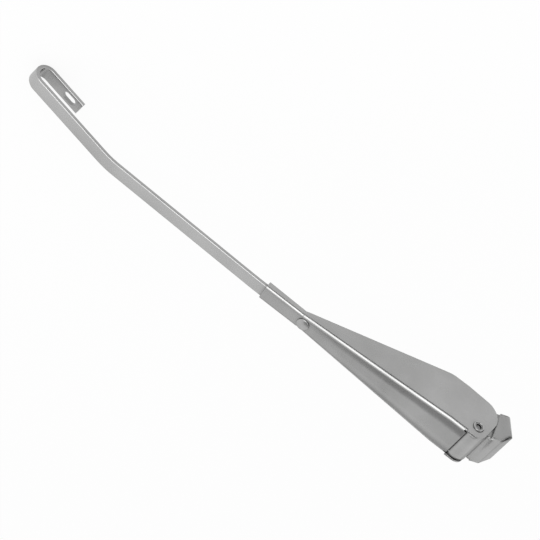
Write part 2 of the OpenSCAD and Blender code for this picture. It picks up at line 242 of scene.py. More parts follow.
@dataclass
class SurfaceEffects:
    """Shader groups that the metal finishes share."""

    arm: HangingArm
    crown: WebCrown = WebCrown()
    groups: dict[str, bpy.types.NodeTree] = field(default_factory=dict)

    def build(self) -> None:
        """Builds every shared group once."""
        self.groups["cloudy_sheen"] = self.cloudy_sheen()
        self.groups["rolled_grain"] = self.rolled_grain()
        self.groups["crowned_web"] = self.crowned_web()

    def start(self, name: str) -> tuple[bpy.types.NodeTree, bpy.types.Node, bpy.types.Node]:
        """Starts a group with a Vector input.

        Args:
            name: The group's name.

        Returns:
            The group, its input node and its output node.
        """
        group = bpy.data.node_groups.new(name, "ShaderNodeTree")
        add_socket(group, "Vector", "INPUT", "NodeSocketVector")
        return group, add_node(group, "NodeGroupInput"), add_node(group, "NodeGroupOutput")

    def cloudy_sheen(self) -> bpy.types.NodeTree:
        """Returns a group with the slow clouds that handling and rolling leave on bare steel."""
        fine_share = 3.7
        group, given, out = self.start("cloudy_sheen")
        add_socket(group, "Cloud Scale", "INPUT", "NodeSocketFloat", 60.0)
        add_socket(group, "Shade", "OUTPUT", "NodeSocketFloat")
        add_socket(group, "Gloss", "OUTPUT", "NodeSocketFloat")
        scale = given.outputs["Cloud Scale"]
        slow = add_node(group, "ShaderNodeTexNoise", noise_dimensions="3D")
        set_inputs(slow, {"Detail": 3.0, "Roughness": 0.55})
        fine = add_node(group, "ShaderNodeTexNoise", noise_dimensions="3D")
        set_inputs(fine, {"Detail": 4.0})
        group.links.new(given.outputs["Vector"], slow.inputs["Vector"])
        group.links.new(given.outputs["Vector"], fine.inputs["Vector"])
        group.links.new(scale, slow.inputs["Scale"])
        group.links.new(maths(group, "MULTIPLY", scale, fine_share), fine.inputs["Scale"])
        shade = map_range(group, slow.outputs["Fac"], (0.3, 0.7), UNIT)
        group.links.new(shade, out.inputs["Shade"])
        group.links.new(fine.outputs["Fac"], out.inputs["Gloss"])
        return group

    def arm_vector(
        self, group: bpy.types.NodeTree, vector: bpy.types.NodeSocket
    ) -> bpy.types.NodeSocket:
        """Turns row coordinates into coordinates drawn from the hinge pin along the arm.

        Args:
            group: The group that gets the nodes.
            vector: The row coordinates.

        Returns:
            The socket with the arm's coordinates, in metres.
        """
        pin = (self.arm.pin_x * MM, 0.0, self.arm.pin_z * MM)
        shift = add_node(group, "ShaderNodeVectorMath", operation="SUBTRACT")
        shift.inputs[1].default_value = pin
        turn = add_node(group, "ShaderNodeVectorRotate", rotation_type="AXIS_ANGLE")
        set_inputs(turn, {"Axis": (0.0, 1.0, 0.0), "Angle": -math.radians(self.arm.drop)})
        group.links.new(vector, shift.inputs[0])
        group.links.new(shift.outputs["Vector"], turn.inputs["Vector"])
        return turn.outputs["Vector"]

    def rolled_grain(self) -> bpy.types.NodeTree:
        """Returns a group with the fine lines that rolling leaves along the arm."""
        group, given, out = self.start("rolled_grain")
        add_socket(group, "Along", "INPUT", "NodeSocketFloat", 60.0)
        add_socket(group, "Across", "INPUT", "NodeSocketFloat", 2600.0)
        add_socket(group, "Height", "OUTPUT", "NodeSocketFloat")
        sizes = add_node(group, "ShaderNodeCombineXYZ")
        stretch = add_node(group, "ShaderNodeVectorMath", operation="MULTIPLY")
        lines = add_node(group, "ShaderNodeTexNoise", noise_dimensions="3D")
        set_inputs(lines, {"Scale": 1.0, "Detail": 2.0})
        group.links.new(given.outputs["Along"], sizes.inputs["X"])
        group.links.new(given.outputs["Across"], sizes.inputs["Y"])
        group.links.new(given.outputs["Across"], sizes.inputs["Z"])
        group.links.new(self.arm_vector(group, given.outputs["Vector"]), stretch.inputs[0])
        group.links.new(sizes.outputs["Vector"], stretch.inputs[1])
        group.links.new(stretch.outputs["Vector"], lines.inputs["Vector"])
        group.links.new(lines.outputs["Fac"], out.inputs["Height"])
        return group

    def crowned_web(self) -> bpy.types.NodeTree:
        """Returns a group with the web's soft crown beside its folds, as a height in metres.

        The height falls as a parabola over the sloping share and as a straight line beyond it.
        """
        crown = self.crown
        group, given, out = self.start("crowned_web")
        add_socket(group, "Slope", "INPUT", "NodeSocketFloat", 0.2)
        add_socket(group, "Height", "OUTPUT", "NodeSocketFloat")
        parts = add_node(group, "ShaderNodeSeparateXYZ")
        group.links.new(self.arm_vector(group, given.outputs["Vector"]), parts.inputs["Vector"])
        half = map_range(group, parts.outputs["X"], crown.along, crown.half_width)
        reach = maths(group, "MULTIPLY", half, crown.share)
        side = maths(group, "ABSOLUTE", parts.outputs["Y"])
        inward = maths(group, "SUBTRACT", maths(group, "SUBTRACT", half, crown.fold), side)
        flat = maths(group, "DIVIDE", inward, reach)
        near = maths(group, "MAXIMUM", maths(group, "SUBTRACT", 1.0, flat), 0.0)
        capped = maths(group, "MINIMUM", near, 1.0)
        curve = maths(group, "MULTIPLY", maths(group, "MULTIPLY", capped, capped), 0.5)
        beyond = maths(group, "SUBTRACT", near, capped)
        fall = maths(group, "MULTIPLY", maths(group, "ADD", curve, beyond), reach)
        fade = map_range(group, parts.outputs["X"], crown.fade_along, crown.fade)
        slope = maths(group, "MULTIPLY", fade, given.outputs["Slope"])
        group.links.new(maths(group, "MULTIPLY", fall, slope), out.inputs["Height"])
        return group


@dataclass(frozen=True)
class MetalFinish:
    """A bare metal surface with clouds, grain, a spread of gloss and painted shade.

    Attributes:
        name: The material's name.
        dark: Colour between the clouds.
        light: Colour of the clouds.
        gloss: Lowest and highest roughness.
        cloud_scale: Scale of the clouds.
        along: Scale of the grain along the arm.
        across: Scale of the grain across the arm.
        grain: Height of the grain, in metres.
        crown: Slope of the web's crown at the fold.
        crevice_painted_shade: How much painted shade, from ambient occlusion, darkens the colour in
            hollows and gaps.
        painted_shade_reach: How close another face has to be for that painted shade, in metres.
        edge_round: Radius that the shading gives to edges, in metres.
        painted_side_shade: How much painted shade darkens the faces to the near and the far side.
    """

    name: str
    dark: Triple
    light: Triple
    gloss: Pair
    cloud_scale: float = 60.0
    along: float = 60.0
    across: float = 2600.0
    grain: float = 0.0000025
    crown: float = 0.0
    crevice_painted_shade: float = 0.75
    painted_shade_reach: float = 0.002
    edge_round: float = 0.0
    painted_side_shade: float = 0.0

    def build(self, effects: SurfaceEffects) -> bpy.types.Material:
        """Builds the material.

        Args:
            effects: The shared shader groups.

        Returns:
            The new material.
        """
        material = bpy.data.materials.new(self.name)
        material.use_nodes = True
        tree = material.node_tree
        shader = tree.nodes["Principled BSDF"]
        set_inputs(shader, {"Metallic": 1.0})
        place = add_node(tree, "ShaderNodeTexCoord")
        clouds = self.placed(tree, effects.groups["cloudy_sheen"], place)
        set_inputs(clouds, {"Cloud Scale": self.cloud_scale})
        tone = self.tone(tree, place, clouds.outputs["Shade"])
        gloss = map_range(tree, clouds.outputs["Gloss"], UNIT, self.gloss)
        normal = self.relief(tree, place, effects)
        tree.links.new(tone, shader.inputs["Base Color"])
        tree.links.new(gloss, shader.inputs["Roughness"])
        tree.links.new(normal, shader.inputs["Normal"])
        return material

    def tone(
        self, tree: bpy.types.NodeTree, place: bpy.types.Node, shade: bpy.types.NodeSocket
    ) -> bpy.types.NodeSocket:
        """Mixes the colour from the clouds, with painted shade in hollows and on the near and far
        sides.

        Args:
            tree: The material's tree.
            place: The node with the object's coordinates and normals.
            shade: The clouds' mask.

        Returns:
            The socket with the colour.
        """
        tint = add_node(tree, "ShaderNodeMix", data_type="RGBA")
        set_inputs(tint, {"A": (*self.dark, 1.0), "B": (*self.light, 1.0)})
        tree.links.new(shade, tint.inputs["Factor"])
        # Painted shade: ambient occlusion darkens the colour where other faces are close.
        near = add_node(tree, "ShaderNodeAmbientOcclusion", samples=8)
        set_inputs(near, {"Distance": self.painted_shade_reach})
        shaded_tone = add_node(tree, "ShaderNodeMix", data_type="RGBA", blend_type="MULTIPLY")
        set_inputs(shaded_tone, {"Factor": self.crevice_painted_shade})
        tree.links.new(tint.outputs["Result"], shaded_tone.inputs["A"])
        tree.links.new(near.outputs["Color"], shaded_tone.inputs["B"])
        tone = shaded_tone.outputs["Result"]
        return self.shade_sides(tree, place, tone) if self.painted_side_shade else tone

    def shade_sides(
        self, tree: bpy.types.NodeTree, place: bpy.types.Node, tone: bpy.types.NodeSocket
    ) -> bpy.types.NodeSocket:
        """Paints shade on the faces that look to the near or the far side, by darkening their
        colour.

        Args:
            tree: The material's tree.
            place: The node with the object's coordinates and normals.
            tone: The colour before.

        Returns:
            The socket with the colour after.
        """
        # Painted shade: faces turned to the near or far side get a darker colour.
        turned_aside = (0.8, 0.95)
        parts = add_node(tree, "ShaderNodeSeparateXYZ")
        tree.links.new(place.outputs["Normal"], parts.inputs["Vector"])
        aside = maths(tree, "ABSOLUTE", parts.outputs["Y"])
        mask = map_range(tree, aside, turned_aside, (1.0, 1.0 - self.painted_side_shade))
        side_shaded = add_node(tree, "ShaderNodeVectorMath", operation="SCALE")
        tree.links.new(tone, side_shaded.inputs["Vector"])
        tree.links.new(mask, side_shaded.inputs["Scale"])
        return side_shaded.outputs["Vector"]

    def relief(
        self, tree: bpy.types.NodeTree, place: bpy.types.Node, effects: SurfaceEffects
    ) -> bpy.types.NodeSocket:
        """Lays the grain over the rounded edges and the web's crown.

        Args:
            tree: The material's tree.
            place: The node with the object's coordinates.
            effects: The shared shader groups.

        Returns:
            The socket with the normal.
        """
        below = None
        if self.edge_round:
            rounded = add_node(tree, "ShaderNodeBevel", samples=6)
            set_inputs(rounded, {"Radius": self.edge_round})
            below = rounded.outputs["Normal"]
        if self.crown:
            crown = self.placed(tree, effects.groups["crowned_web"], place)
            set_inputs(crown, {"Slope": self.crown})
            below = self.bump(tree, crown.outputs["Height"], 1.0, below)
        grain = self.placed(tree, effects.groups["rolled_grain"], place)
        set_inputs(grain, {"Along": self.along, "Across": self.across})
        return self.bump(tree, grain.outputs["Height"], self.grain, below)

    @staticmethod
    def bump(
        tree: bpy.types.NodeTree,
        height: bpy.types.NodeSocket,
        distance: float,
        below: bpy.types.NodeSocket | None,
    ) -> bpy.types.NodeSocket:
        """Adds a Bump node.

        Args:
            tree: The material's tree.
            height: The height.
            distance: What a height of 1 stands for, in metres.
            below: The normal that it is laid on, or None for the mesh's own.

        Returns:
            The socket with the normal.
        """
        made = add_node(tree, "ShaderNodeBump")
        set_inputs(made, {"Distance": distance})
        tree.links.new(height, made.inputs["Height"])
        if below is not None:
            tree.links.new(below, made.inputs["Normal"])
        return made.outputs["Normal"]

    @staticmethod
    def placed(
        tree: bpy.types.NodeTree, group: bpy.types.NodeTree, place: bpy.types.Node
    ) -> bpy.types.Node:
        """Puts a shared group into a material.

        Args:
            tree: The material's tree.
            group: The shared group.
            place: The node with the object's coordinates.

        Returns:
            The group node.
        """
        made = add_node(tree, "ShaderNodeGroup", node_tree=group)
        tree.links.new(place.outputs["Object"], made.inputs["Vector"])
        return made


# The crevice and painted_shade_reach values below paint shade into the colour, and so does
# painted_side_shade.
SHEET = MetalFinish(
    "rolled_stainless",
    dark=(0.34, 0.34, 0.337),
    light=(0.41, 0.41, 0.408),
    gloss=(0.22, 0.3),
    cloud_scale=38.0,
    crown=0.225,
    crevice_painted_shade=0.55,
    edge_round=0.0004,
)
CAP = MetalFinish(
    "pressed_stainless",
    dark=(0.37, 0.37, 0.367),
    light=(0.43, 0.43, 0.427),
    gloss=(0.18, 0.26),
    cloud_scale=70.0,
    crevice_painted_shade=0.35,
    edge_round=0.0022,
    painted_side_shade=0.2,
)
STRIP = MetalFinish(
    "drawn_stainless_strip",
    dark=(0.42, 0.42, 0.417),
    light=(0.5, 0.5, 0.498),
    gloss=(0.3, 0.38),
    cloud_scale=24.0,
    along=40.0,
    painted_shade_reach=0.012,
    painted_side_shade=0.2,
)
PIN = MetalFinish(
    "polished_rivet_steel",
    dark=(0.37, 0.37, 0.368),
    light=(0.43, 0.43, 0.428),
    gloss=(0.14, 0.2),
    cloud_scale=220.0,
    along=300.0,
    across=300.0,
    crevice_painted_shade=1.0,
    painted_shade_reach=0.004,
)
DULL = MetalFinish(
    "dull_pin_steel",
    dark=(0.25, 0.25, 0.248),
    light=(0.31, 0.31, 0.306),
    gloss=(0.3, 0.45),
    cloud_scale=200.0,
)
ZINC = MetalFinish(
    "cast_zinc_boss",
    dark=(0.3, 0.305, 0.31),
    light=(0.38, 0.385, 0.39),
    gloss=(0.45, 0.62),
    cloud_scale=140.0,
    along=900.0,
    across=900.0,
    grain=0.00004,
)
WIRE = MetalFinish(
    "drawn_spring_wire",
    dark=(0.13, 0.13, 0.132),
    light=(0.19, 0.19, 0.19),
    gloss=(0.26, 0.4),
    cloud_scale=260.0,
)


def soften(mesh: bpy.types.Mesh, limit: float) -> None:
    """Shades a mesh smooth, apart from edges sharper than a limit.

    Args:
        mesh: The mesh.
        limit: The limit in degrees.
    """
    work = bmesh.new()
    work.from_mesh(mesh)
    for face in work.faces:
        face.smooth = True
    for edge in work.edges:
        edge.smooth = edge.calc_face_angle(math.pi) < math.radians(limit)
    work.to_mesh(mesh)
    work.free()


def add_object(work: bmesh.types.BMesh, name: str) -> bpy.types.Object:
    """Makes an object of a bmesh.

    Args:
        work: The bmesh, which is freed.
        name: Name of the mesh and of the object.

    Returns:
        The new object.
    """
    mesh = bpy.data.meshes.new(name)
    work.to_mesh(mesh)
    work.free()
    made = bpy.data.objects.new(name, mesh)
    bpy.context.scene.collection.objects.link(made)
    return made


def add_tube(rings: list[list[Vector]], name: str) -> bpy.types.Object:
    """Makes a closed tube over rings with equal numbers of points.

    Args:
        rings: The rings' points in the row frame, in metres.
        name: Name of the mesh and of the object.

    Returns:
        The new object.
    """
    work = bmesh.new()
    loops = [[work.verts.new(point) for point in ring] for ring in rings]
    for a, b in zip(loops, loops[1:]):
        for k in range(len(a)):
            q = (k + 1) % len(a)
            work.faces.new((a[k], a[q], b[q], b[k]))
    work.faces.new(loops[0][::-1])
    work.faces.new(loops[-1])
    bmesh.ops.recalc_face_normals(work, faces=work.faces)
    return add_object(work, name)


def finish_piece(
    piece: bpy.types.Object, finish: bpy.types.Material, node: str
) -> None:
    """Gives a piece its material and hides the CAD node that it stands for.

    Args:
        piece: The piece.
        finish: Its material.
        node: The CAD node.
    """
    piece.data.materials.clear()
    piece.data.materials.append(finish)
    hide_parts(node)
    log.info("%s: %d faces, stands for %s", piece.name, len(piece.data.polygons), node)


@dataclass
class PressedParts:
    """Pressed, cast and bent pieces, each a clean copy of its solid.

    Attributes:
        nodes: The CAD objects by node name.
        finishes: The materials by name.
        weld: Distance under which points are one, in metres.
        flat: Angle under which neighbouring faces are one, in degrees.
        sharp: Angle over which an edge shows, in degrees.
    """

    nodes: dict[str, bpy.types.Object]
    finishes: dict[str, bpy.types.Material]
    weld: float = 2e-6
    flat: float = 0.3
    sharp: float = 40.0

    def copied(self, node: str, name: str, body: Body, finish: MetalFinish) -> None:
        """Copies a solid's mesh with whole faces and smooth shading.

        Args:
            node: The CAD node.
            name: The piece's name.
            body: The body it rides on.
            finish: Its finish.
        """
        mesh = self.nodes[node].data.copy()
        mesh.name = name
        if mesh.has_custom_normals:
            mesh.attributes.remove(mesh.attributes["custom_normal"])
        work = bmesh.new()
        work.from_mesh(mesh)
        bmesh.ops.remove_doubles(work, verts=work.verts, dist=self.weld)
        limit = math.radians(self.flat)
        bmesh.ops.dissolve_limit(work, angle_limit=limit, verts=work.verts, edges=work.edges)
        work.to_mesh(mesh)
        work.free()
        piece = bpy.data.objects.new(name, mesh)
        bpy.context.scene.collection.objects.link(piece)
        soften(piece.data, self.sharp)
        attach(piece, body.value)
        finish_piece(piece, self.finishes[finish.name], node)

    def build(self) -> None:
        """Builds the pieces in the order in which the arm is put together."""
        self.copied("spindle_boss", "zinc_boss", Body.HEAD, ZINC)
        self.copied("retaining_clip", "wire_clip", Body.HEAD, WIRE)
        self.copied("spring_anchor_pin", "anchor_pin", Body.HEAD, DULL)
        self.copied("head_cover", "pressed_head", Body.HEAD, CAP)
        self.copied("arm_channel", "folded_channel", Body.ARM, SHEET)


@dataclass
class TurnedPins:
    """Domed rivet and rolled hinge pin, each turned from its profile; sizes in millimetres.

    Attributes:
        arm: Place of the arm.
        rivet_x: The rivet's distance from the hinge pin.
        web_top: Height of the web's outer face, where the rivet's head sits.
        head_r: Radius of the rivet's head.
        dome: Height of the rivet's head.
        edge_r: Radius of its rounded edge.
        cap_tilt: Slope of its nearly flat cap at the edge, in degrees.
        shank_r: Radius of the rivet's shank.
        post_bottom: Height at which the peened foot begins.
        post_head: Radius and thickness of the foot.
        post_chamfer: Chamfer of the foot.
        pin_half: Half the hinge pin's length between its rims.
        pin_r: Outer radius of the hinge pin.
        bore_r: Inner radius of the hinge pin.
        rim_r: Outer radius of its rims.
        rim_h: Height of its rims.
        rim_lip: How far the rims' roll stands back from the bore.
        rim_start: Depth at which the bore turns into the roll.
        core_depth: Depth at which the bore is shown as closed.
        core_chamfer: Chamfer at the closed end.
        arc_steps: Steps of the rivet's cap and of its edge.
        roll_steps: Steps of a rim's roll.
        steps: Steps of a full turn.
        sharp: Angle over which an edge shows, in degrees.
    """

    arm: HangingArm
    rivet_x: float = 101.3
    web_top: float = 7.0
    head_r: float = 3.5
    dome: float = 1.1
    edge_r: float = 0.45
    cap_tilt: float = 8.0
    shank_r: float = 1.8
    post_bottom: float = 1.6
    post_head: Pair = (2.7, 0.8)
    post_chamfer: float = 0.15
    pin_half: float = 11.7
    pin_r: float = 2.5
    bore_r: float = 1.7
    rim_r: float = 3.1
    rim_h: float = 0.8
    rim_lip: float = 0.35
    rim_start: float = 0.6
    core_depth: float = 2.0
    core_chamfer: float = 0.3
    arc_steps: int = 8
    roll_steps: int = 10
    steps: int = 64
    sharp: float = 50.0

    def rivet_profile(self) -> list[Pair]:
        """Returns the rivet's (radius, height) points, from the dome's top to the post's foot."""
        tilt, count = math.radians(self.cap_tilt), self.arc_steps
        joint_r = self.head_r - self.edge_r * (1.0 - math.sin(tilt))
        cap = joint_r * math.tan(tilt) / 2
        edge_top = self.web_top + self.dome - cap
        middle_h = edge_top - self.edge_r * math.cos(tilt)
        shares = [i / count for i in range(count)]
        points = [(joint_r * s, edge_top + cap * (1.0 - s**2)) for s in shares]
        for s in (*shares, 1.0):
            angle = tilt + (math.pi / 2 - tilt) * s
            radius = self.head_r - self.edge_r * (1.0 - math.sin(angle))
            points.append((radius, middle_h + self.edge_r * math.cos(angle)))
        points.append((self.head_r, self.web_top))
        (foot, thick), top, cut = self.post_head, self.post_bottom, self.post_chamfer
        points += [(self.shank_r, self.web_top), (self.shank_r, top)]
        points += [(foot - cut, top), (foot, top - cut)]
        points += [(foot, top - thick + cut), (foot - cut, top - thick)]
        return points + [(0.0, top - thick)]

    def pin_profile(self) -> list[Pair]:
        """Returns the pin's (radius, height) points, from one end's core to that of the other."""
        outer, cut = self.pin_half + self.rim_h, self.core_chamfer
        core = outer - self.core_depth
        lip = self.bore_r + self.rim_lip
        middle, thick = (self.rim_r + lip) / 2, (self.rim_r - lip) / 2
        end = [(0.0, core), (self.bore_r - cut, core)]
        end += [(self.bore_r, core + cut), (self.bore_r, outer - self.rim_start)]
        for i in range(self.roll_steps + 1):
            angle = math.pi * (1.0 - i / self.roll_steps)
            end.append((middle + thick * math.cos(angle), outer - thick + thick * math.sin(angle)))
        end += [(self.rim_r, self.pin_half), (self.pin_r, self.pin_half)]
        return end + [(r, -h) for r, h in reversed(end)]

    def turned(self, name: str, profile: list[Pair], frame: Matrix) -> bpy.types.Object:
        """Turns a profile about the Z axis of a frame.

        Args:
            name: The piece's name.
            profile: Radius and height of each point, closed on the axis at both ends.
            frame: The frame in the row, in metres.

        Returns:
            The new piece.
        """
        work, rings = bmesh.new(), []
        for r, h in profile:
            count = self.steps if r > 0.0 else 1
            turns = [2 * math.pi * k / self.steps for k in range(count)]
            spots = [Vector((r * math.cos(t), r * math.sin(t), h)) * MM for t in turns]
            rings.append([work.verts.new(frame @ spot) for spot in spots])
        for a, b in zip(rings, rings[1:]):
            for k in range(self.steps):
                q = (k + 1) % self.steps
                around = [a[k % len(a)], a[q % len(a)], b[q % len(b)], b[k % len(b)]]
                work.faces.new(list(dict.fromkeys(around)))
        bmesh.ops.recalc_face_normals(work, faces=work.faces)
        piece = add_object(work, name)
        soften(piece.data, self.sharp)
        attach(piece, Body.ARM.value)
        return piece

    def build(self, finish: bpy.types.Material) -> None:
        """Builds the rivet and the pin.

        Args:
            finish: Their material.
        """
        place = self.arm.matrix()
        spot = place @ Matrix.Translation((self.rivet_x * MM, 0.0, 0.0))
        rivet = self.turned("domed_rivet", self.rivet_profile(), spot)
        finish_piece(rivet, finish, "strip_rivet")
        across = place @ Matrix.Rotation(math.radians(90.0), 4, "X")
        pin = self.turned("rolled_pin", self.pin_profile(), across)
        finish_piece(pin, finish, "hinge_pin")


@dataclass
class BladeStrip:
    """Strip with rounded edges, bent edgewise and turned back in the hook; in millimetres.

    Attributes:
        arm: Place of the arm.
        width: The strip's width.
        thick: The strip's thickness.
        edge_r: Radius of its edges.
        tail: Length inside the crimp.
        run: Straight length from the mouth to the bend.
        reach: Straight length from the bend to the hook.
        lean: Lean to the near side at the mouth, in degrees.
        bend: Further lean at the bend, in degrees.
        bend_r: Radius of the bend.
        set_angle: How much the strip droops at the mouth, in degrees.
        mouth: The crimp mouth's distance from the hinge pin.
        under: Height of the strip's outer face.
        gap: Gap in the hook.
        returned: Length of the hook's return leg.
        slot_at: Distance of the latch slot's middle from the leg's end.
        slot_size: Length and width of the latch slot.
        counts: Steps of the tail, run, bend, reach, hook's turn and return leg.
        corner_steps: Steps of a rounded edge.
        slot_steps: Steps round the latch slot.
        sharp: Angle over which an edge shows, in degrees.
    """

    arm: HangingArm
    width: float = 8.0
    thick: float = 2.4
    edge_r: float = 0.7
    tail: float = 36.0
    run: float = 97.2
    reach: float = 47.4
    lean: float = 1.5
    bend: float = 12.6
    bend_r: float = 45.0
    set_angle: float = 0.5
    mouth: float = 127.8
    under: float = 6.0
    gap: float = 9.0
    returned: float = 22.5
    slot_at: float = 7.6
    slot_size: Pair = (8.2, 4.6)
    counts: tuple[int, ...] = (4, 12, 12, 6, 32, 6)
    corner_steps: int = 7
    slot_steps: int = 48
    sharp: float = 40.0

    def place(self) -> Matrix:
        """Returns the matrix from points drawn at the mouth to the row frame, in metres."""
        return self.arm.matrix() @ Matrix.Translation(Vector((self.mouth, 0.0, self.under)) * MM)

    def section(self) -> list[Pair]:
        """Returns the rounded section as (across, depth) points, with the outer face at depth 0."""
        quarters = ((1, -1, 0.0), (-1, -1, 90.0), (-1, 1, 180.0), (1, 1, 270.0))
        half, r, points = self.width / 2, self.edge_r, []
        for across, down, start in quarters:
            middle = Vector((across * (half - r), -r if down < 0 else r - self.thick))
            for step in range(self.corner_steps + 1):
                angle = math.radians(start + 90.0 * step / self.corner_steps)
                points.append((middle.x + r * math.cos(angle), middle.y + r * math.sin(angle)))
        return points

    def plane(self) -> Matrix:
        """Returns the turn that lets the strip droop from the mouth on."""
        return Matrix.Rotation(math.radians(self.set_angle), 4, "Y")

    def far_frame(self) -> Matrix:
        """Returns the frame where the strip meets the hook's turn, seen from the mouth."""
        half = math.tan(math.radians(self.bend / 2)) * self.bend_r
        far = math.radians(self.lean + self.bend)
        near = math.radians(self.lean)
        corner = Vector((math.cos(near), -math.sin(near), 0.0)) * (self.run + half)
        end = corner + Vector((math.cos(far), -math.sin(far), 0.0)) * (self.reach + half)
        return self.plane() @ Matrix.Translation(end) @ Matrix.Rotation(-far, 4, "Z")

    def stations(self) -> list[Matrix]:
        """Returns the frames along the strip, seen from the mouth, in millimetres."""
        tails, runs, bends, reaches, turns, returns = self.counts
        near, plane, far = math.radians(self.lean), self.plane(), self.far_frame()
        frames = [
            Matrix.Translation((-self.tail * (1 - i / tails), 0.0, 0.0)) for i in range(tails)
        ]
        first = Vector((math.cos(near), -math.sin(near), 0.0))
        leaned = Matrix.Rotation(-near, 4, "Z")
        for i in range(1, runs + 1):
            frames.append(plane @ Matrix.Translation(first * self.run * i / runs) @ leaned)
        inner = self.bend_r * Vector((-math.sin(near), -math.cos(near), 0.0))
        centre = first * self.run + inner
        for i in range(1, bends + 1):
            angle = near + math.radians(self.bend) * i / bends
            spot = centre + Vector((math.sin(angle), math.cos(angle), 0.0)) * self.bend_r
            frames.append(plane @ Matrix.Translation(spot) @ Matrix.Rotation(-angle, 4, "Z"))
        for i in range(1, reaches + 1):
            frames.append(far @ Matrix.Translation((-self.reach * (1 - i / reaches), 0.0, 0.0)))
        axis = Vector((0.0, 0.0, -self.thick - self.gap / 2))
        there, back = Matrix.Translation(axis), Matrix.Translation(-axis)
        for i in range(1, turns + 1):
            turn = Matrix.Rotation(math.pi * i / turns, 4, "Y")
            frames.append(far @ there @ turn @ back)
        last = frames[-1]
        for i in range(1, returns + 1):
            frames.append(last @ Matrix.Translation((self.returned * i / returns, 0.0, 0.0)))
        return frames

    def swept(self) -> bpy.types.Object:
        """Returns the strip swept along its stations."""
        place, outline = self.place(), [Vector((0.0, y, z)) for y, z in self.section()]
        rings = [
            [place @ ((frame @ point) * MM) for point in outline] for frame in self.stations()
        ]
        return add_tube(rings, "hooked_strip")

    def latch_cutter(self) -> bpy.types.Object:
        """Returns the round-ended block that cuts the latch slot."""
        length, width = self.slot_size
        place, far = self.place(), self.far_frame()
        middle = Vector((self.slot_at - self.returned, 0.0, -1.5 * self.thick - self.gap))
        rings = []
        for z in (-self.thick, self.thick):
            ring = []
            for i in range(self.slot_steps):
                angle = 2 * math.pi * (i + 0.5) / self.slot_steps
                across, along = math.sin(angle) * width / 2, math.cos(angle) * width / 2
                end = math.copysign((length - width) / 2, along)
                ring.append(place @ ((far @ (middle + Vector((end + along, across, z)))) * MM))
            rings.append(ring)
        return add_tube(rings, "latch_slot_cutter")

    def build(self, finish: bpy.types.Material) -> None:
        """Builds the strip with its slot.

        Args:
            finish: The strip's material.
        """
        piece, cutter = self.swept(), self.latch_cutter()
        cut = piece.modifiers.new("latch_slot", "BOOLEAN")
        cut.operation = "DIFFERENCE"
        cut.solver = "EXACT"
        cut.object = cutter
        shown = piece.evaluated_get(bpy.context.evaluated_depsgraph_get())
        slotted = bpy.data.meshes.new_from_object(shown)
        piece.modifiers.clear()
        piece.data = slotted
        bpy.data.objects.remove(cutter)
        soften(piece.data, self.sharp)
        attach(piece, Body.ARM.value)
        finish_piece(piece, finish, "blade_strip")


